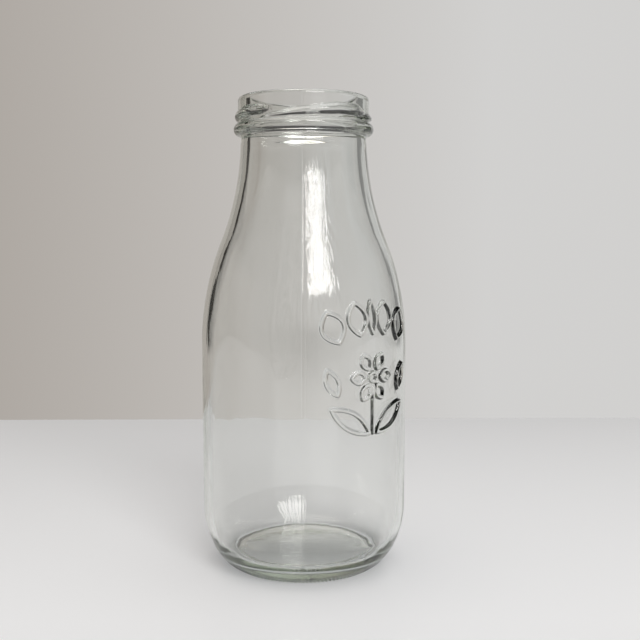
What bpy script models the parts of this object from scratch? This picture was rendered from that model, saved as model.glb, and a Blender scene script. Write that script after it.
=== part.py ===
"""Glass milk bottle: one piece of clear moulded glass with a four-lug twist-off neck.

Units are metres and +Z is up. The origin is the centre of the base, on the surface that the
bottle stands on. The mould parts in the YZ plane, and angles round the bottle are counted from
its parting line on the -Y side towards +X.
"""

import math

import bmesh
import bpy
from mathutils import Vector

OBJECT_NAME = "glass_milk_bottle"

# Whole bottle
BOTTLE_HEIGHT = 0.1440
BODY_RADIUS = 0.03165
BODY_WALL = 0.0022

# Base: a flat bearing ring, a shallow push-up inside it, and a rounded heel outside it
HEEL_HEIGHT = 0.0195
HEEL_INSET = 0.0092
BEARING_WIDTH = 0.0020
BEARING_EDGE = 0.0006
PUSH_UP = 0.0024
FLOOR_THICKNESS = 0.0044
INNER_HEEL_HEIGHT = 0.0146
INNER_FLOOR_INSET = 0.0074

# Sloping shoulder and neck: two equal arcs that meet on a tangent
SHOULDER_HEIGHT = 0.0640
NECK_WALL = 0.00295

# Finish: the lip, the wall that carries the lugs, and the bead under them
BORE_RADIUS = 0.01635
FINISH_HEIGHT = 0.0115
FINISH_WALL = 0.0037
LIP_OUTER_ROUND = 0.0012
LIP_INNER_ROUND = 0.0006
BEAD_HEIGHT = 0.0034
BEAD_PROUD = 0.00135

# Twist-off lugs: each climbs round the neck as it thickens, runs level and closes at its end
LUG_COUNT = 4
LUG_PROUD = 0.00135
LUG_THICKNESS = 0.0030
LUG_SPAN = math.radians(94)
LUG_GAP = 0.0003
LUG_RISE = 0.0021
LUG_TIP = 0.25
LUG_CLIMB = 0.66
LUG_CLOSE = 0.12
LUG_FIRST_START = math.radians(-31.1)

# Embossed ridges, a row of leaves over a flower
EMBOSS_TURN = math.radians(39.3)
RIDGE_RADIUS = 0.00055
RIDGE_GAP = 0.0003
ROW_RISE = 0.0103
ROW_ARC_RADIUS = 0.0330
ROW_PLACES = (-0.0133, -0.0052, 0.0, 0.0052, 0.0133)
ROW_WIDTHS = (0.0068, 0.0060, 0.0026, 0.0060, 0.0068)
ROW_LEAF_LENGTH = 0.0092
MOTIF_DROP = 0.0115
PETAL_COUNT = 6
PETAL_LENGTH = 0.0046
PETAL_WIDTH = 0.0031
FLOWER_EYE_RADIUS = 0.0013
FLOWER_RISE = 0.0046
STEM_FOOT = -0.0116
SIDE_LEAF_LENGTH = 0.0142
SIDE_LEAF_WIDTH = 0.0048
SIDE_LEAF_TILT = math.radians(58)
BUD_LENGTH = 0.0078
BUD_WIDTH = 0.0036
BUD_TILT = math.radians(24)
BUD_OFFSET = 0.0116
LEAF_ROUNDNESS = 0.8

# Fineness
TURN_STEPS = 40
ARC_STEPS = 7
BEAD_STEPS = 6
LIP_STEPS = 4
LUG_STEPS = 12
LEAF_STEPS = 5
CROWN_STEPS = 5
LUG_FACETS = 2
RIDGE_FACETS = 1
WELD_DISTANCE = 0.000001
AXIS_WELD_DISTANCE = 0.00001

# Sizes that follow from the ones above
FINISH_RADIUS = BORE_RADIUS + FINISH_WALL
NECK_RADIUS = BORE_RADIUS + NECK_WALL
BEAD_RADIUS = FINISH_RADIUS + BEAD_PROUD
BODY_BORE = BODY_RADIUS - BODY_WALL
NECK_TOP = BOTTLE_HEIGHT - FINISH_HEIGHT
SHOULDER_FOOT = NECK_TOP - SHOULDER_HEIGHT
BEARING_RADIUS = BODY_RADIUS - HEEL_INSET
ROW_HEIGHT = SHOULDER_FOOT + ROW_RISE
MOTIF_HEIGHT = SHOULDER_FOOT - MOTIF_DROP
RIDGE_PITCH = 2 * RIDGE_RADIUS + RIDGE_GAP
BEARING_INNER_RADIUS = BEARING_RADIUS - BEARING_WIDTH


def ellipse(centre, half_width, half_height, start, end, steps):
    """Points (radius, height) along an elliptical arc, angles from the outward direction."""
    turn = [start + (end - start) * i / steps for i in range(steps + 1)]
    return [(centre[0] + half_width * math.cos(a), centre[1] + half_height * math.sin(a)) for a in turn]


def ogee(top, foot, steps):
    """Points down two equal arcs that leave `top` and reach `foot` straight up and down."""
    spread = foot[0] - top[0]
    height = top[1] - foot[1]
    sweep = 2 * math.atan2(spread, height)
    radius = height / (2 * math.sin(sweep))
    turns = [sweep * i / steps for i in range(steps + 1)]
    upper = [(top[0] + radius * (1 - math.cos(a)), top[1] - radius * math.sin(a)) for a in turns]
    lower = [(foot[0] - radius * (1 - math.cos(a)), foot[1] + radius * math.sin(a)) for a in reversed(turns)]
    return upper + lower[1:]


def lip_points():
    """Over the lip, from the bore out to the finish wall, with a flat sealing land."""
    quarter = math.pi / 2
    inner_centre = (BORE_RADIUS + LIP_INNER_ROUND, BOTTLE_HEIGHT - LIP_INNER_ROUND)
    outer_centre = (FINISH_RADIUS - LIP_OUTER_ROUND, BOTTLE_HEIGHT - LIP_OUTER_ROUND)
    inner = ellipse(inner_centre, LIP_INNER_ROUND, LIP_INNER_ROUND, 2 * quarter, quarter, LIP_STEPS)
    outer = ellipse(outer_centre, LIP_OUTER_ROUND, LIP_OUTER_ROUND, quarter, 0.0, LIP_STEPS)
    return inner + outer


def bead_points():
    """Down over the rounded bead below the lugs."""
    centre = (FINISH_RADIUS, NECK_TOP + BEAD_HEIGHT / 2)
    reach = BEAD_RADIUS - FINISH_RADIUS
    return ellipse(centre, reach, BEAD_HEIGHT / 2, math.pi / 2, -math.pi / 2, BEAD_STEPS)


def heel_points():
    """Down round the heel to the flat bearing ring."""
    half_width = BODY_RADIUS - BEARING_INNER_RADIUS
    last = math.acos((BEARING_WIDTH + BEARING_EDGE) / half_width)
    centre = (BEARING_INNER_RADIUS, HEEL_HEIGHT)
    curve = ellipse(centre, half_width, HEEL_HEIGHT, 0.0, -last, ARC_STEPS)
    return curve + [(BEARING_RADIUS, 0.0), (BEARING_INNER_RADIUS, 0.0)]


def push_up_points():
    """From the bearing ring up the shallow dome to the middle of the underside."""
    return ellipse((0.0, 0.0), BEARING_INNER_RADIUS, PUSH_UP, 0.0, math.pi / 2, CROWN_STEPS)[1:]


def floor_points():
    """From the middle of the inner floor out and up into the body bore."""
    floor_edge = BODY_BORE - INNER_FLOOR_INSET
    crown = ellipse((0.0, FLOOR_THICKNESS), floor_edge, PUSH_UP, math.pi / 2, 0.0, CROWN_STEPS)[:-1]
    corner = (floor_edge, FLOOR_THICKNESS + INNER_HEEL_HEIGHT)
    return crown + ellipse(corner, INNER_FLOOR_INSET, INNER_HEEL_HEIGHT, -math.pi / 2, 0.0, ARC_STEPS)


def outer_profile():
    """The outside of the neck and body, top to bottom, between the bead and the heel."""
    return ogee((NECK_RADIUS, NECK_TOP), (BODY_RADIUS, SHOULDER_FOOT), ARC_STEPS)


def bottle_profile():
    """The whole closed section: up the inside from the axis, over the lip, down the outside."""
    bore = ogee((BORE_RADIUS, NECK_TOP), (BODY_BORE, SHOULDER_FOOT), ARC_STEPS)
    inside = floor_points() + list(reversed(bore))
    outside = lip_points() + bead_points() + outer_profile() + heel_points() + push_up_points()
    return inside + outside


def outer_radius(height):
    """Radius of the outside of the body or neck at a height."""
    points = outer_profile()
    if height <= points[-1][1]:
        return BODY_RADIUS
    for upper, lower in zip(points, points[1:]):
        if lower[1] <= height <= upper[1]:
            share = (height - lower[1]) / (upper[1] - lower[1])
            return lower[0] + share * (upper[0] - lower[0])
    return NECK_RADIUS


def polar(radius, angle, height):
    """A point at an angle round the bottle, counted from -Y towards +X."""
    return Vector((radius * math.sin(angle), -radius * math.cos(angle), height))


def on_panel(across, height):
    """A point on the outer surface, a distance round from the middle of the embossing."""
    return polar(outer_radius(height), EMBOSS_TURN + across / BODY_RADIUS, height)


def leaf(width, length):
    """Closed outline of a pointed leaf that stands on (0, 0) and points up."""
    heights = [length * i / LEAF_STEPS for i in range(LEAF_STEPS + 1)]
    right = [(width / 2 * math.sin(math.pi * h / length) ** LEAF_ROUNDNESS, h) for h in heights[:-1]]
    left = [(-x, h) for x, h in reversed(right[1:])]
    return right + [(0.0, length)] + left


def moved(points, shift, lean):
    """Points leant clockwise about (0, 0), then shifted."""
    c, s = math.cos(lean), math.sin(lean)
    return [(shift[0] + c * x + s * y, shift[1] - s * x + c * y) for x, y in points]


def row_strokes():
    """Five plain leaves fanned along an arc."""
    strokes = []
    for place, width in zip(ROW_PLACES, ROW_WIDTHS):
        lean = place / ROW_ARC_RADIUS
        middle = (ROW_ARC_RADIUS * math.sin(lean), ROW_HEIGHT - ROW_ARC_RADIUS * (1 - math.cos(lean)))
        outline = [(x, y - ROW_LEAF_LENGTH / 2) for x, y in leaf(width, ROW_LEAF_LENGTH)]
        strokes.append((moved(outline, middle, lean), True))
    return strokes


def motif_strokes():
    """A daisy on a stem between two leaves and two buds, none of them touching."""
    flower = (0.0, MOTIF_HEIGHT + FLOWER_RISE)
    foot_height = MOTIF_HEIGHT + STEM_FOOT
    turn = 2 * math.pi / PETAL_COUNT
    eye = ellipse(flower, FLOWER_EYE_RADIUS, FLOWER_EYE_RADIUS, 0.0, 2 * math.pi, 2 * PETAL_COUNT)[:-1]
    strokes = [(eye, True)]
    petal_foot = FLOWER_EYE_RADIUS + RIDGE_PITCH
    petal = [(x, y + petal_foot) for x, y in leaf(PETAL_WIDTH, PETAL_LENGTH)]
    for i in range(PETAL_COUNT):
        strokes.append((moved(petal, flower, turn * (i + 0.5)), True))
    stem_top = flower[1] - petal_foot
    strokes.append(([(0.0, stem_top), (0.0, (stem_top + foot_height) / 2), (0.0, foot_height)], False))
    side_leaf = leaf(SIDE_LEAF_WIDTH, SIDE_LEAF_LENGTH)
    bud = leaf(BUD_WIDTH, BUD_LENGTH)
    for side in (-1, 1):
        leaf_foot = (side * RIDGE_PITCH, foot_height)
        strokes.append((moved(side_leaf, leaf_foot, side * SIDE_LEAF_TILT), True))
        bud_foot = (side * BUD_OFFSET, MOTIF_HEIGHT)
        strokes.append((moved(bud, bud_foot, side * BUD_TILT), True))
    return strokes


def lug_line(start):
    """Points and thickness shares of one lug: it climbs as it thickens, then runs level."""
    foot = NECK_TOP + BEAD_HEIGHT + LUG_GAP + LUG_TIP * LUG_THICKNESS / 2
    line = []
    for i in range(LUG_STEPS + 1):
        share = i / LUG_STEPS
        climb = min(1.0, share / LUG_CLIMB)
        fullness = LUG_TIP + (1 - LUG_TIP) * min(climb, (1 - share) / LUG_CLOSE)
        sunk = (LUG_THICKNESS / 2 - LUG_PROUD) * fullness
        height = foot + LUG_RISE * climb
        line.append((polar(FINISH_RADIUS - sunk, start + LUG_SPAN * share, height), fullness))
    return line


def clear_scene():
    for item in list(bpy.data.objects):
        bpy.data.objects.remove(item, do_unlink=True)


def new_collection(name):
    collection = bpy.data.collections.new(name)
    bpy.context.scene.collection.children.link(collection)
    return collection


def bar_mesh(name, points, thickness, facets, closed, collection):
    """A round bar along points, each with its share of the thickness, as a closed mesh."""
    curve = bpy.data.curves.new(name, "CURVE")
    curve.dimensions = "3D"
    curve.bevel_depth = thickness / 2
    curve.bevel_resolution = facets
    curve.use_fill_caps = not closed
    spline = curve.splines.new("POLY")
    spline.points.add(len(points) - 1)
    spline.use_cyclic_u = closed
    for target, (place, share) in zip(spline.points, points):
        target.co = (*place, 1.0)
        target.radius = share
    guide = bpy.data.objects.new(name + "_line", curve)
    collection.objects.link(guide)
    bpy.context.view_layer.update()
    evaluated = guide.evaluated_get(bpy.context.evaluated_depsgraph_get())
    mesh = bpy.data.meshes.new_from_object(evaluated)
    welded = bmesh.new()
    welded.from_mesh(mesh)
    bmesh.ops.remove_doubles(welded, verts=welded.verts, dist=WELD_DISTANCE)
    bmesh.ops.recalc_face_normals(welded, faces=welded.faces)
    welded.to_mesh(mesh)
    welded.free()
    mesh.name = name
    bar = bpy.data.objects.new(name, mesh)
    bar.matrix_world = guide.matrix_world
    bar.hide_render = True
    bar.display_type = "WIRE"
    collection.objects.link(bar)
    bpy.data.objects.remove(guide, do_unlink=True)
    bpy.data.curves.remove(curve)


def clear_glass():
    material = bpy.data.materials.new("clear_glass")
    material.use_nodes = True
    shader = material.node_tree.nodes["Principled BSDF"]
    shader.inputs["Base Color"].default_value = (0.93, 0.97, 0.95, 1.0)
    shader.inputs["Roughness"].default_value = 0.02
    shader.inputs["Metallic"].default_value = 0.0
    shader.inputs["IOR"].default_value = 1.52
    shader.inputs["Transmission Weight"].default_value = 1.0
    material.diffuse_color = (0.80, 0.88, 0.84, 0.35)
    return material


def turned_bottle(collection):
    """The plain bottle: its section turned once round the axis."""
    profile = bottle_profile()
    mesh = bpy.data.meshes.new("glass_bottle")
    edges = [(i, i + 1) for i in range(len(profile) - 1)]
    mesh.from_pydata([(r, 0.0, z) for r, z in profile], edges, [])
    mesh.materials.append(clear_glass())
    bottle = bpy.data.objects.new("glass_bottle", mesh)
    collection.objects.link(bottle)
    screw = bottle.modifiers.new("Turn", "SCREW")
    screw.axis = "Z"
    screw.angle = 2 * math.pi
    screw.steps = TURN_STEPS
    screw.render_steps = TURN_STEPS
    screw.use_merge_vertices = True
    screw.merge_threshold = AXIS_WELD_DISTANCE
    screw.use_smooth_shade = True
    return bottle


def raise_details(bottle, details):
    """Make the lugs and ridges one body with the bottle."""
    union = bottle.modifiers.new("Raised details", "BOOLEAN")
    union.operation = "UNION"
    union.operand_type = "COLLECTION"
    union.collection = details
    union.solver = "EXACT"


def main():
    clear_scene()
    parts = new_collection(OBJECT_NAME)
    details = new_collection("raised_details")
    for number in range(LUG_COUNT):
        start = LUG_FIRST_START + 2 * math.pi * number / LUG_COUNT
        bar_mesh(f"lug_{number + 1}", lug_line(start), LUG_THICKNESS, LUG_FACETS, False, details)
    for number, (outline, closed) in enumerate(row_strokes() + motif_strokes()):
        points = [(on_panel(across, height), 1.0) for across, height in outline]
        bar_mesh(f"ridge_{number + 1}", points, 2 * RIDGE_RADIUS, RIDGE_FACETS, closed, details)
    bottle = turned_bottle(parts)
    raise_details(bottle, details)


main()
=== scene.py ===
"""Looks for the glass milk bottle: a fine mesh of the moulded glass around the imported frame.

Units are metres and +Z is up. The bottle stands on z = 0 and its mould parts in the YZ plane.
Angles round the bottle are counted from its parting line on the -Y side towards +X.
"""

import math

import bmesh
import bpy
import numpy as np
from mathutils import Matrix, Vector, noise


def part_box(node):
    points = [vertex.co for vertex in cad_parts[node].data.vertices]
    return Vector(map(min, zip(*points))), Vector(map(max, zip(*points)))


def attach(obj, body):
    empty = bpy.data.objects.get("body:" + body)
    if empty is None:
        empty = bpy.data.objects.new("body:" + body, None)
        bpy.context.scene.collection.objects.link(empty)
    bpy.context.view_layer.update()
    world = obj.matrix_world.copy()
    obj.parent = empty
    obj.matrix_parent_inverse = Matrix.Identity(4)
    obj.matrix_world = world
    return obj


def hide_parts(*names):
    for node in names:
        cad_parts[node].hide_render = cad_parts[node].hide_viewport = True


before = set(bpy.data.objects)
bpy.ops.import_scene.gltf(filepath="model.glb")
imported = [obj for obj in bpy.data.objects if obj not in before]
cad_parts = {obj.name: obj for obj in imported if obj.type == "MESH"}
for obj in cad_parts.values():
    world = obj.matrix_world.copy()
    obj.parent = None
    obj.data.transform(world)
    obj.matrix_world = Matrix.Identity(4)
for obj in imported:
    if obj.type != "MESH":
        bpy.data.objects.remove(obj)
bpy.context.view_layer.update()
LOW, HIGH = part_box("glass_bottle")
MM = 0.001
HAIR = 0.01 * MM
QUARTER = math.pi / 2

# The section, from the frame's box and the sizes of a 43 mm twist-off neck
HEIGHT = HIGH[2]
BODY_RADIUS = (HIGH[0] - LOW[0]) / 2
BODY_WALL = 2.2 * MM
BODY_BORE = BODY_RADIUS - BODY_WALL
BORE = 16.35 * MM
FINISH = 20.05 * MM
NECK = 19.3 * MM
FINISH_HEIGHT = 11.5 * MM
NECK_TOP = HEIGHT - FINISH_HEIGHT
SHOULDER_HEIGHT = 64 * MM
SHOULDER_FOOT = NECK_TOP - SHOULDER_HEIGHT
HEEL_HEIGHT = 19.5 * MM
BEARING = BODY_RADIUS - 9.2 * MM
BEARING_INNER = BEARING - 2.0 * MM
BEARING_EDGE = 0.3 * MM
PUSH_UP = 2.4 * MM
FLOOR_THICKNESS = 4.4 * MM
INNER_HEEL_HEIGHT = 14.6 * MM
INNER_FLOOR_EDGE = BODY_BORE - 7.4 * MM
LIP_ROUND = 1.2 * MM
LIP_INNER_ROUND = 0.6 * MM
PROUD = 1.35 * MM
BEAD_HEIGHT = 3.4 * MM
BEAD_TOP = NECK_TOP + BEAD_HEIGHT
NECK_GROOVE_HEIGHT = 1.3 * MM
NECK_GROOVE_DEPTH = 0.22 * MM

# Slow waves in the bore, and the knurled foot
WAVE_DEPTH = 0.12 * MM
WAVE_HEIGHT = 40 * MM
WAVE_WIDTH = 9 * MM
WAVES_FROM = 12 * MM
KNURL_RISE = 3.2 * MM
KNURL_DEPTH = 0.5 * MM

# Twist-off lugs
LUG_COUNT = 4
LUG_SPAN = math.radians(94)
LUG_FIRST_START = math.radians(-31.1)
LUG_THICKNESS = 3.0 * MM
LUG_TIP = 0.25
LUG_FOOT = BEAD_TOP + 0.3 * MM + LUG_TIP * LUG_THICKNESS / 2
LUG_RISE = 2.1 * MM
LUG_CLIMB = 0.66
LUG_CLOSE = 0.12
LUG_ROUNDNESS = 0.6

# The mould's parting line, on two sides
SEAM_HEIGHT = 0.06 * MM
SEAM_HALF_WIDTH = math.radians(0.5)
SEAM_COLUMNS = [math.radians(offset) for offset in (-0.8, -0.5, -0.25, 0.0, 0.25, 0.5, 0.8)]
SEAM_MARGIN = math.radians(1.2)
HEEL_SEAM_FROM = 26 * MM

# Embossed ornament, in distances round from the panel's middle and heights
EMBOSS_TURN = math.radians(39.3)
EMBOSS_REACH = math.radians(45)
RIDGE_HEIGHT = 0.85 * MM
RIDGE_HALF_WIDTH = 0.68 * MM
RIDGE_PITCH = 1.4 * MM
LEAF_ROUNDNESS = 0.8
ROW_HEIGHT = SHOULDER_FOOT + 10.3 * MM
ROW_ARC_RADIUS = 33 * MM
ROW_LEAF_LENGTH = 9.2 * MM
ROW_LEAVES = ((-13.3, 6.8), (-5.2, 6.0), (0.0, 2.6), (5.2, 6.0), (13.3, 6.8))
MOTIF_HEIGHT = SHOULDER_FOOT - 11.5 * MM
STEM_FOOT = MOTIF_HEIGHT - 11.6 * MM
FLOWER_HEIGHT = MOTIF_HEIGHT + 4.6 * MM
EYE_RADIUS = 1.3 * MM
PETAL_COUNT = 6
PETAL = (3.1 * MM, 4.6 * MM)
SIDE_LEAF = (4.8 * MM, 14.2 * MM)
SIDE_LEAF_LEAN = math.radians(58)
BUD = (3.6 * MM, 7.8 * MM)
BUD_LEAN = math.radians(24)
BUD_OFFSET = 11.6 * MM

# The glass and its skin: draw lines and slow waves, each with its width and height
DRAW_LINE_SIZE = (1.2 * MM, 16 * MM)
DRAW_LINE_DEPTH = 0.115 * MM
DRAW_LINE_FAINT = 0.05
DRAWN_TURN = math.radians(12)
DRAWN_HALF_WIDTH = math.radians(9)
DRAWN_LOW = 84 * MM
DRAWN_HIGH = 122 * MM
DRAWN_SOFTNESS = (math.radians(6), 8 * MM)
SKIN_WAVE_SIZE = (5 * MM, 16 * MM)
SKIN_WAVE_DEPTH = 0.05 * MM
GLASS_IOR = 1.52
GLASS_TINT = (0.79, 0.82, 0.77, 1.0)
GLASS_TINT_DENSITY = 80.0

# Fineness of the mesh
COLUMNS = 240
FINE = 0.32 * MM
MEDIUM = 0.95 * MM
COARSE = 2.4 * MM
RIDGE_CUTS = 4
NEAR_RIDGE = RIDGE_HALF_WIDTH + 0.5 * MM

# The table: how far it reaches, where it fades away in front of the bottle, its painted shade towards the
# far edge and its painted glow
FLOOR_REACH = 2.5
FLOOR_BEHIND = 0.232
FADE_FROM = 0.24
FADE_TO = 0.60
# Painted shade: the floor's colour darkens from the near colour to the far colour towards its edge behind
# the bottle.
FLOOR_NEAR_COLOUR = (0.57, 0.575, 0.585, 1.0)
FLOOR_FAR_PAINTED_SHADE_COLOUR = (0.40, 0.403, 0.41, 1.0)
FLOOR_FRONT = -0.05
# Painted light: the floor glows in its own colour, a fill that lifts the shadows round the bottle without a
# lamp.
FLOOR_PAINTED_GLOW = 0.44
FLOOR_ROUGHNESS = 0.35

# The studio: strengths, and places as degrees of turn from the camera's side and degrees of rise.
# A panel is (middle, half width, low edge, high edge, (softness sideways, softness upright)), and
# an edge is where a soft step starts and ends. WALL_SLOPE runs from the left side to the right.
WALL_LEFT_COLOUR = (1.0, 0.925, 0.85, 1.0)
WALL_RIGHT_COLOUR = (1.0, 0.99, 0.975, 1.0)
WALL_SLOPE = (-0.33, 0.19)
WALL_EVERYWHERE = 0.05
BACK_WALL = 0.105
BACK_WALL_GAIN = 0.225
BACK_WALL_EDGE = (95.0, 125.0)
ROOM_EDGE = (40.0, 80.0)
ROOM_LIGHT = 0.26
SIDE_PANEL = (46.0, 26.0, -60.0, 9.0, (8.0, 5.0))
SIDE_LIGHT = 0.24
LEFT_DARK = (-132.0, 9.0, -4.5, 89.0, (2.0, 2.5))
RIGHT_DARK = (106.0, 36.0, -4.5, 89.0, (3.0, 2.5))
RIGHT_DARKNESS = 0.66
UPPER_DARK_EDGE = (17.0, 27.0)
UPPER_DARKNESS = 0.9
WINDOW = (20.0, 14.0, 22.0, 50.0, (4.0, 4.0))
WINDOW_LIGHT = 14.0
SLAT_RATE = 1.3
WINDOW_GLOW = (20.0, 17.0, 6.0, 66.0, (4.0, 4.0))
GLOW_LIGHT = 0.35
CEILING_EDGE = (48.0, 76.0)
CEILING_LIGHT = 2.6
LONG_PATH_BOUNCES = 40

# The camera stands where the photographer stood
CAMERA_AZIMUTH = math.radians(0.9)
CAMERA_DISTANCE = 0.293
CAMERA_HEIGHT = 0.101
CAMERA_PITCH = math.radians(4.9)
CAMERA_YAW = math.radians(0.98)
CAMERA_LENS = 53.0
CAMERA_SENSOR = 36.0


def ellipse(centre, half_width, half_height, start, end, step):
    """Points (radius, height) along an elliptical arc, about `step` apart, ends included."""
    length = abs(end - start) * (half_width + half_height) / 2
    count = max(3, round(length / step))
    turns = [start + (end - start) * i / count for i in range(count + 1)]
    return [(centre[0] + half_width * math.cos(a), centre[1] + half_height * math.sin(a)) for a in turns]


def straight(start, end, step):
    """Points between two ends, about `step` apart, ends included."""
    count = max(1, round(math.dist(start, end) / step))
    shares = [i / count for i in range(count + 1)]
    return [(start[0] + (end[0] - start[0]) * s, start[1] + (end[1] - start[1]) * s) for s in shares]


def ogee(top, foot, step):
    """Points down two equal arcs that leave `top` and reach `foot` straight up and down."""
    spread = foot[0] - top[0]
    height = top[1] - foot[1]
    sweep = 2 * math.atan2(spread, height)
    radius = height / (2 * math.sin(sweep))
    count = max(4, round(radius * sweep / step))
    turns = [sweep * i / count for i in range(count + 1)]
    upper = [(top[0] + radius * (1 - math.cos(a)), top[1] - radius * math.sin(a)) for a in turns]
    lower = [(foot[0] - radius * (1 - math.cos(a)), foot[1] + radius * math.sin(a)) for a in reversed(turns)]
    return upper + lower[1:]


def inner_section():
    """From the middle of the inner floor up the bore to the lip's inner edge."""
    corner = (INNER_FLOOR_EDGE, FLOOR_THICKNESS + INNER_HEEL_HEIGHT)
    heel_width = BODY_BORE - INNER_FLOOR_EDGE
    points = ellipse((0, FLOOR_THICKNESS), INNER_FLOOR_EDGE, PUSH_UP, QUARTER, 0, COARSE / 2)
    points += ellipse(corner, heel_width, INNER_HEEL_HEIGHT, -QUARTER, 0, COARSE / 2)[1:]
    points += straight(points[-1], (BODY_BORE, SHOULDER_FOOT), COARSE)[1:]
    points += ogee((BORE, NECK_TOP), (BODY_BORE, SHOULDER_FOOT), COARSE)[::-1][1:]
    centre = (BORE + LIP_INNER_ROUND, HEIGHT - LIP_INNER_ROUND)
    lip = ellipse(centre, LIP_INNER_ROUND, LIP_INNER_ROUND, 2 * QUARTER, QUARTER, FINE / 2)
    return points + straight(points[-1], lip[0], COARSE)[1:-1] + lip


def finish_section():
    """From the lip's land out, down the wall that carries the lugs, and over the bead."""
    centre = (FINISH - LIP_ROUND, HEIGHT - LIP_ROUND)
    points = ellipse(centre, LIP_ROUND, LIP_ROUND, QUARTER, 0, FINE)
    points += straight(points[-1], (FINISH, BEAD_TOP), FINE)[1:]
    bead = (FINISH, NECK_TOP + BEAD_HEIGHT / 2)
    return points + ellipse(bead, PROUD, BEAD_HEIGHT / 2, QUARTER, -QUARTER, FINE)[1:]


def outer_section():
    """From below the bead down the neck, shoulder and body to the heel."""
    points = ogee((NECK, NECK_TOP), (BODY_RADIUS, SHOULDER_FOOT), MEDIUM)
    return points + straight(points[-1], (BODY_RADIUS, HEEL_HEIGHT), MEDIUM)[1:]


def base_section():
    """From the heel round to the bearing ring and over the push-up to the middle of the underside."""
    reach = BODY_RADIUS - BEARING_INNER
    last = math.acos((BEARING + BEARING_EDGE - BEARING_INNER) / reach)
    points = ellipse((BEARING_INNER, HEEL_HEIGHT), reach, HEEL_HEIGHT, 0, -last, MEDIUM)
    points += straight((BEARING, 0), (BEARING_INNER, 0), FINE * 2)
    return points + ellipse((0, 0), BEARING_INNER, PUSH_UP, 0, QUARTER, COARSE / 2)[1:]


def from_seam(angle):
    """The turn from the nearer parting line, which run up the -Y and +Y sides."""
    return (angle + QUARTER) % (2 * QUARTER) - QUARTER


def column_angles():
    """Even columns all round, with closer ones on each side of the parting lines."""
    even = [2 * math.pi * i / COLUMNS for i in range(COLUMNS)]
    kept = [angle for angle in even if abs(from_seam(angle)) > SEAM_MARGIN]
    return sorted(kept + [side + offset for side in (0, math.pi) for offset in SEAM_COLUMNS])


def polar(radius, angle, height):
    return (radius * math.sin(angle), -radius * math.cos(angle), height)


def leaf(size, steps=14):
    """Closed outline of a pointed leaf that stands on (0, 0) and points up."""
    width, length = size
    heights = [length * i / steps for i in range(steps + 1)]
    right = [
        (width / 2 * math.sin(math.pi * i / steps) ** LEAF_ROUNDNESS, h)
        for i, h in enumerate(heights[:-1])
    ]
    return right + [(0.0, length)] + [(-x, h) for x, h in reversed(right[1:])]


def moved(points, shift, lean):
    """Points leant clockwise about (0, 0), then shifted."""
    c, s = math.cos(lean), math.sin(lean)
    return [(shift[0] + c * x + s * y, shift[1] - s * x + c * y) for x, y in points]


def closed(points):
    return points + points[:1]


def row_strokes():
    """Five plain leaves fanned along an arc."""
    strokes = []
    for place, width in ROW_LEAVES:
        lean = place * MM / ROW_ARC_RADIUS
        middle = (ROW_ARC_RADIUS * math.sin(lean), ROW_HEIGHT - ROW_ARC_RADIUS * (1 - math.cos(lean)))
        outline = [(x, y - ROW_LEAF_LENGTH / 2) for x, y in leaf((width * MM, ROW_LEAF_LENGTH))]
        strokes.append(closed(moved(outline, middle, lean)))
    return strokes


def motif_strokes():
    """A daisy on a stem between two leaves and two buds."""
    flower = (0.0, FLOWER_HEIGHT)
    petal_foot = EYE_RADIUS + RIDGE_PITCH
    petal = [(x, y + petal_foot) for x, y in leaf(PETAL)]
    strokes = [ellipse(flower, EYE_RADIUS, EYE_RADIUS, 0, 4 * QUARTER, RIDGE_HALF_WIDTH)]
    for i in range(PETAL_COUNT):
        strokes.append(closed(moved(petal, flower, 4 * QUARTER * (i + 0.5) / PETAL_COUNT)))
    strokes.append([(0.0, FLOWER_HEIGHT - petal_foot), (0.0, STEM_FOOT)])
    for side in (-1, 1):
        side_leaf = moved(leaf(SIDE_LEAF), (side * RIDGE_PITCH, STEM_FOOT), side * SIDE_LEAF_LEAN)
        bud = moved(leaf(BUD), (side * BUD_OFFSET, MOTIF_HEIGHT), side * BUD_LEAN)
        strokes += [closed(side_leaf), closed(bud)]
    return strokes


def stroke_distance(across, heights, strokes):
    """Distance on the unrolled surface from each point to the nearest stroke."""
    points = np.column_stack([across, heights])
    nearest = np.full(len(points), 1.0)
    for stroke in strokes:
        corners = np.array(stroke)
        for start, end in zip(corners, corners[1:]):
            along = end - start
            share = np.clip(((points - start) @ along) / max(along @ along, 1e-18), 0, 1)
            gap = points - start - share[:, None] * along
            nearest = np.minimum(nearest, np.hypot(gap[:, 0], gap[:, 1]))
    return nearest


def lug_height(angle, height):
    """How far the lugs stand out at each point of the finish wall."""
    raised = np.zeros_like(angle)
    for number in range(LUG_COUNT):
        start = LUG_FIRST_START + 4 * QUARTER * number / LUG_COUNT
        share = ((angle - start) % (4 * QUARTER)) / LUG_SPAN
        inside = (share > 0) & (share < 1)
        share = np.clip(share, 0, 1)
        climb = np.clip(share / LUG_CLIMB, 0, 1)
        fullness = LUG_TIP + (1 - LUG_TIP) * np.minimum(climb, np.clip((1 - share) / LUG_CLOSE, 0, 1))
        middle = LUG_FOOT + LUG_RISE * climb
        offset = (height - middle) / (LUG_THICKNESS / 2 * fullness)
        bump = np.clip(1 - offset ** 2, 0, 1) ** LUG_ROUNDNESS
        raised = np.maximum(raised, np.where(inside, PROUD * fullness * bump, 0))
    return raised


def seam_height(angle):
    """How far the parting line stands out."""
    return SEAM_HEIGHT * np.clip(1 - (from_seam(angle) / SEAM_HALF_WIDTH) ** 2, 0, 1)


def ripples(angle, height):
    """Smooth waves in the bore, from -1 to 1: long up the wall and short round it."""
    around = BODY_BORE / WAVE_WIDTH
    values = []
    for a, h in zip(angle, height):
        place = Vector((around * math.sin(a), around * math.cos(a), h / WAVE_HEIGHT))
        values.append(noise.noise(place))
    return np.array(values)


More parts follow.
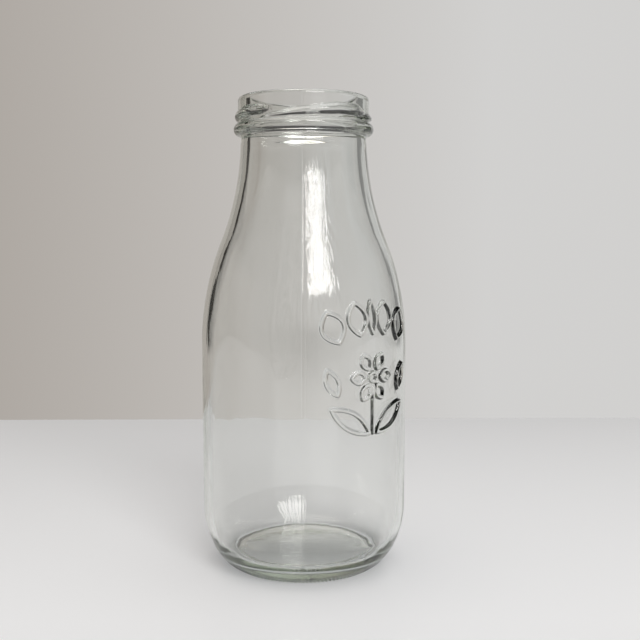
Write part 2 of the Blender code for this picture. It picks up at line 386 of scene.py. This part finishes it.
def grid(profile, angles):
    """One ring of points for each point of the section, joined into a closed skin."""
    skin = bmesh.new()
    rings = []
    for radius, height in profile:
        if radius < 1e-6:
            rings.append([skin.verts.new((0, 0, height))])
        else:
            rings.append([skin.verts.new(polar(radius, angle, height)) for angle in angles])
    for upper, lower in zip(rings, rings[1:]):
        for i in range(len(angles)):
            j = (i + 1) % len(angles)
            corners = [upper[i % len(upper)], upper[j % len(upper)]]
            corners += [lower[j % len(lower)], lower[i % len(lower)]]
            skin.faces.new(list(dict.fromkeys(corners)))
    bmesh.ops.recalc_face_normals(skin, faces=skin.faces)
    return skin


def refine_near(skin, strokes, outer):
    """Cut the faces near the embossed ridges finer."""
    faces = list(skin.faces)
    centres = np.array([face.calc_center_median() for face in faces])
    radius = np.hypot(centres[:, 0], centres[:, 1])
    turn = np.arctan2(centres[:, 0], -centres[:, 1]) - EMBOSS_TURN
    on_outside = radius > np.interp(centres[:, 2], outer[0], outer[1]) - 1 * MM
    above_foot = centres[:, 2] > STEM_FOOT - 3 * MM
    candidates = np.flatnonzero(on_outside & (np.abs(turn) < EMBOSS_REACH) & above_foot)
    distance = stroke_distance(turn[candidates] * BODY_RADIUS, centres[candidates, 2], strokes)
    near = [faces[i] for i in candidates[distance < NEAR_RIDGE]]
    edges = list({edge for face in near for edge in face.edges})
    bmesh.ops.subdivide_edges(skin, edges=edges, cuts=RIDGE_CUTS, use_grid_fill=True)


def bottle_mesh(name):
    """The whole bottle as one closed skin with every moulded detail in its shape."""
    inside = inner_section()
    finish = finish_section()
    outside = outer_section()
    profile = inside + finish + outside + base_section()[1:]
    skin = grid(profile, column_angles())
    heights, radii = np.array([(h, r) for r, h in reversed(outside)]).T
    strokes = row_strokes() + motif_strokes()
    refine_near(skin, strokes, (heights, radii))
    data = bpy.data.meshes.new(name)
    skin.to_mesh(data)
    skin.free()
    shape(data, strokes, (heights, radii))
    data.shade_smooth()
    piece = bpy.data.objects.new(name, data)
    bpy.context.scene.collection.objects.link(piece)
    return piece


def shape(data, strokes, outer):
    """Move each point out or in for the ridges, lugs, parting line and waves in the glass."""
    places = np.empty(len(data.vertices) * 3)
    data.vertices.foreach_get("co", places)
    places = places.reshape(-1, 3)
    radius = np.hypot(places[:, 0], places[:, 1])
    angle = np.arctan2(places[:, 0], -places[:, 1])
    height = places[:, 2].copy()
    expected = np.interp(height, outer[0], outer[1])
    on_body = (height > HEEL_HEIGHT - HAIR) & (height < NECK_TOP - HAIR)
    on_body &= radius > expected - 0.5 * MM
    on_finish = (height > BEAD_TOP) & (height < HEIGHT - LIP_ROUND)
    on_finish &= np.abs(radius - FINISH) < HAIR
    on_heel = (height <= HEEL_HEIGHT) & (height > 0.2 * MM) & (radius > HEEL_SEAM_FROM)
    on_bore = (height > FLOOR_THICKNESS + PUSH_UP) & (radius > WAVES_FROM)
    on_bore &= radius < expected - 1 * MM
    moved_radius = np.where(on_body, expected, radius)
    turn = angle - EMBOSS_TURN
    panel = np.flatnonzero(on_body & (np.abs(turn) < EMBOSS_REACH))
    distance = stroke_distance(turn[panel] * BODY_RADIUS, height[panel], strokes)
    moved_radius[panel] += RIDGE_HEIGHT * np.clip(1 - (distance / RIDGE_HALF_WIDTH) ** 3, 0, 1)
    moved_radius += np.where(on_finish, lug_height(angle, height), 0)
    moved_radius += np.where(on_body | on_finish | on_heel, seam_height(angle), 0)
    groove = np.clip(1 - ((NECK_TOP - height) / NECK_GROOVE_HEIGHT - 1) ** 2, 0, 1)
    moved_radius -= np.where(on_body, NECK_GROOVE_DEPTH * groove, 0)
    moved_radius -= np.where(on_bore, WAVE_DEPTH * (1 + ripples(angle, height)), 0)
    fade = np.clip(1 - height / KNURL_RISE, 0, 1)
    knurl = KNURL_DEPTH * fade * np.cos(COLUMNS / 2 * angle)
    moved_radius += np.where(radius > BEARING - 0.1 * MM, knurl, 0)
    scale = moved_radius / np.maximum(radius, 1e-9)
    places[:, 0] *= scale
    places[:, 1] *= scale
    data.vertices.foreach_set("co", places.ravel())
    data.update()


def stretched_noise(tree, place, width, height):
    """Noise about `width` across and `height` tall on the glass."""
    squeeze = tree.nodes.new("ShaderNodeMapping")
    squeeze.inputs["Scale"].default_value = (1.0, 1.0, width / height)
    tree.links.new(place, squeeze.inputs["Vector"])
    texture = tree.nodes.new("ShaderNodeTexNoise")
    texture.inputs["Scale"].default_value = 1 / width
    texture.inputs["Detail"].default_value = 1.0
    tree.links.new(squeeze.outputs["Vector"], texture.inputs["Vector"])
    return texture.outputs["Fac"]


def drawn_patch(tree, place):
    """1 on the front of the shoulder, where the draw lines are strongest, and 0 away from it."""
    parts = tree.nodes.new("ShaderNodeSeparateXYZ")
    tree.links.new(place, parts.inputs[0])
    across, along, up = parts.outputs
    turn = math_node(tree, "ARCTAN2", across, math_node(tree, "MULTIPLY", along, -1.0))
    return panel(tree, turn, up, DRAWN_TURN, DRAWN_HALF_WIDTH, DRAWN_LOW, DRAWN_HIGH, DRAWN_SOFTNESS)


def glass():
    """Clear glass, faintly green where it is thick, with fine upright draw lines in its skin."""
    material = bpy.data.materials.new("clear_glass")
    material.use_nodes = True
    tree = material.node_tree
    shader = tree.nodes["Principled BSDF"]
    shader.inputs["Base Color"].default_value = (1.0, 1.0, 1.0, 1.0)
    shader.inputs["Roughness"].default_value = 0.0
    shader.inputs["IOR"].default_value = GLASS_IOR
    shader.inputs["Transmission Weight"].default_value = 1.0
    place = tree.nodes.new("ShaderNodeTexCoord").outputs["Object"]
    lines = tree.nodes.new("ShaderNodeBump")
    lines.inputs["Strength"].default_value = 1.0
    lines.inputs["Distance"].default_value = DRAW_LINE_DEPTH
    patch = drawn_patch(tree, place)
    patch = math_node(tree, "MULTIPLY_ADD", patch, 1 - DRAW_LINE_FAINT, DRAW_LINE_FAINT)
    drawn = math_node(tree, "MULTIPLY", stretched_noise(tree, place, *DRAW_LINE_SIZE), patch)
    tree.links.new(drawn, lines.inputs["Height"])
    skin = tree.nodes.new("ShaderNodeBump")
    skin.inputs["Strength"].default_value = 1.0
    skin.inputs["Distance"].default_value = SKIN_WAVE_DEPTH
    tree.links.new(stretched_noise(tree, place, *SKIN_WAVE_SIZE), skin.inputs["Height"])
    tree.links.new(lines.outputs["Normal"], skin.inputs["Normal"])
    tree.links.new(skin.outputs["Normal"], shader.inputs["Normal"])
    volume = tree.nodes.new("ShaderNodeVolumeAbsorption")
    volume.inputs["Color"].default_value = GLASS_TINT
    volume.inputs["Density"].default_value = GLASS_TINT_DENSITY
    tree.links.new(volume.outputs["Volume"], tree.nodes["Material Output"].inputs["Volume"])
    return material


def add_camera():
    """The camera at the photograph's place: level with the shoulder, looking slightly down."""
    lens = bpy.data.cameras.new("camera")
    lens.sensor_width = CAMERA_SENSOR
    lens.lens = CAMERA_LENS
    lens.clip_start = 0.01
    seat = bpy.data.objects.new("camera", lens)
    bpy.context.scene.collection.objects.link(seat)
    seat.location = polar(CAMERA_DISTANCE, CAMERA_AZIMUTH, CAMERA_HEIGHT)
    seat.rotation_euler = (QUARTER - CAMERA_PITCH, 0.0, CAMERA_AZIMUTH - CAMERA_YAW)
    bpy.context.scene.camera = seat


def add_floor():
    """A plain pale table top: its far edge lies behind the bottle and its near part fades away. Its colour
    darkens towards the far edge as painted shade, and it glows in that colour as painted fill light.
    """
    corners = [(-FLOOR_REACH, -FLOOR_REACH, 0), (FLOOR_REACH, -FLOOR_REACH, 0)]
    corners += [(FLOOR_REACH, FLOOR_BEHIND, 0), (-FLOOR_REACH, FLOOR_BEHIND, 0)]
    mesh = bpy.data.meshes.new("floor")
    mesh.from_pydata(corners, [], [(0, 1, 2, 3)])
    table = bpy.data.objects.new("floor", mesh)
    table.rotation_euler = (0, 0, CAMERA_AZIMUTH)
    bpy.context.scene.collection.objects.link(table)
    material = bpy.data.materials.new("pale_floor_painted_glow_and_shade")
    material.use_nodes = True
    tree = material.node_tree
    shader = tree.nodes["Principled BSDF"]
    parts = tree.nodes.new("ShaderNodeSeparateXYZ")
    tree.links.new(tree.nodes.new("ShaderNodeTexCoord").outputs["Object"], parts.inputs[0])
    # Painted shade: the floor's colour darkens towards its far edge behind the bottle.
    distance = ramp(tree, parts.outputs["Y"], FLOOR_FRONT, FLOOR_BEHIND)
    colour = blend(tree, distance, FLOOR_NEAR_COLOUR, FLOOR_FAR_PAINTED_SHADE_COLOUR)
    shader.inputs["Roughness"].default_value = FLOOR_ROUGHNESS
    # Painted light: the floor glows in its own colour, lifting the shadows round the bottle.
    shader.inputs["Emission Strength"].default_value = FLOOR_PAINTED_GLOW
    tree.links.new(colour, shader.inputs["Base Color"])
    tree.links.new(colour, shader.inputs["Emission Color"])
    clear = tree.nodes.new("ShaderNodeBsdfTransparent")
    mix = tree.nodes.new("ShaderNodeMixShader")
    tree.links.new(soft_step(tree, parts.outputs["Y"], -FADE_TO, -FADE_FROM), mix.inputs["Fac"])
    tree.links.new(clear.outputs["BSDF"], mix.inputs[1])
    tree.links.new(shader.outputs["BSDF"], mix.inputs[2])
    tree.links.new(mix.outputs["Shader"], tree.nodes["Material Output"].inputs["Surface"])
    mesh.materials.append(material)


def math_node(tree, operation, *values):
    """A math node fed by sockets or numbers; returns its output."""
    made = tree.nodes.new("ShaderNodeMath")
    made.operation = operation
    for socket, value in zip(made.inputs, values):
        if isinstance(value, (int, float)):
            socket.default_value = value
        else:
            tree.links.new(value, socket)
    return made.outputs[0]


def ramp(tree, value, low, high, kind="LINEAR"):
    """0 below low and 1 above high."""
    made = tree.nodes.new("ShaderNodeMapRange")
    made.interpolation_type = kind
    tree.links.new(value, made.inputs["Value"])
    made.inputs["From Min"].default_value = low
    made.inputs["From Max"].default_value = high
    return made.outputs["Result"]


def soft_step(tree, value, low, high):
    """0 below low, 1 above high, smooth between."""
    return ramp(tree, value, low, high, "SMOOTHSTEP")


def blend(tree, share, first, second):
    """From the first colour to the second."""
    mix = tree.nodes.new("ShaderNodeMix")
    mix.data_type = "RGBA"
    tree.links.new(share, mix.inputs["Factor"])
    mix.inputs[6].default_value = first
    mix.inputs[7].default_value = second
    return mix.outputs[2]


def panel(tree, turn, rise, middle, half_width, low, high, softness):
    """A soft-edged rectangle, 1 inside and 0 outside; softness is a pair, sideways and upright."""
    sideways, upright = softness
    offset = math_node(tree, "ABSOLUTE", math_node(tree, "SUBTRACT", turn, middle))
    side = soft_step(tree, offset, half_width + sideways, half_width)
    foot = soft_step(tree, rise, low - upright, low)
    head = soft_step(tree, rise, high + upright, high)
    return math_node(tree, "MULTIPLY", side, math_node(tree, "MULTIPLY", foot, head))


def add_studio():
    """A grey studio: a pale wall behind the bottle, a bright ceiling and a window behind the camera."""
    world = bpy.data.worlds.new("studio")
    world.use_nodes = True
    bpy.context.scene.world = world
    tree = world.node_tree
    place = tree.nodes.new("ShaderNodeTexCoord")
    turned = tree.nodes.new("ShaderNodeVectorRotate")
    turned.rotation_type = "Z_AXIS"
    turned.inputs["Angle"].default_value = -CAMERA_AZIMUTH
    tree.links.new(place.outputs["Generated"], turned.inputs["Vector"])
    parts = tree.nodes.new("ShaderNodeSeparateXYZ")
    tree.links.new(turned.outputs["Vector"], parts.inputs[0])
    across, along, up = parts.outputs
    degree = 180 / math.pi
    turn = math_node(tree, "ARCTAN2", across, math_node(tree, "MULTIPLY", along, -1.0))
    turn = math_node(tree, "MULTIPLY", turn, degree)
    rise = math_node(tree, "MULTIPLY", math_node(tree, "ARCSINE", up), degree)
    spread = math_node(tree, "ABSOLUTE", turn)
    rightness = ramp(tree, across, *WALL_SLOPE)
    room = math_node(tree, "MULTIPLY", soft_step(tree, spread, *ROOM_EDGE), ROOM_LIGHT)
    side = math_node(tree, "MULTIPLY", panel(tree, turn, rise, *SIDE_PANEL), SIDE_LIGHT)
    room = math_node(tree, "MAXIMUM", room, side)
    back = math_node(tree, "MULTIPLY_ADD", rightness, BACK_WALL_GAIN, BACK_WALL)
    back = math_node(tree, "MULTIPLY", soft_step(tree, spread, *BACK_WALL_EDGE), back)
    walls = math_node(tree, "ADD", math_node(tree, "ADD", room, back), WALL_EVERYWHERE)
    left = panel(tree, turn, rise, *LEFT_DARK)
    right = math_node(tree, "MULTIPLY", panel(tree, turn, rise, *RIGHT_DARK), RIGHT_DARKNESS)
    above = math_node(tree, "MULTIPLY", soft_step(tree, rise, *UPPER_DARK_EDGE), UPPER_DARKNESS)
    for shade in (left, right, above):
        walls = math_node(tree, "MULTIPLY", walls, math_node(tree, "SUBTRACT", 1.0, shade))
    window = math_node(tree, "MULTIPLY", panel(tree, turn, rise, *WINDOW), WINDOW_LIGHT)
    slats = math_node(tree, "SINE", math_node(tree, "MULTIPLY", turn, SLAT_RATE))
    slats = math_node(tree, "MULTIPLY_ADD", slats, 0.5, 0.5)
    window = math_node(tree, "MULTIPLY", window, slats)
    glow = math_node(tree, "MULTIPLY", panel(tree, turn, rise, *WINDOW_GLOW), GLOW_LIGHT)
    window = math_node(tree, "ADD", window, glow)
    ceiling = math_node(tree, "MULTIPLY", soft_step(tree, rise, *CEILING_EDGE), CEILING_LIGHT)
    light = math_node(tree, "ADD", math_node(tree, "ADD", window, ceiling), walls)
    background = tree.nodes["Background"]
    colour = blend(tree, rightness, WALL_LEFT_COLOUR, WALL_RIGHT_COLOUR)
    tree.links.new(colour, background.inputs["Color"])
    tree.links.new(light, background.inputs["Strength"])
    bpy.context.scene.view_settings.view_transform = "Standard"


def let_light_through():
    """Enough bounces for light that runs along inside the thick glass."""
    cycles = bpy.context.scene.cycles
    cycles.max_bounces = LONG_PATH_BOUNCES
    cycles.transmission_bounces = LONG_PATH_BOUNCES
    cycles.glossy_bounces = 24
    cycles.diffuse_bounces = 4


bottle = bottle_mesh("glass_bottle_fine")
bottle.data.materials.append(glass())
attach(bottle, "root")
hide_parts("glass_bottle")
add_floor()
add_camera()
add_studio()
let_light_through()
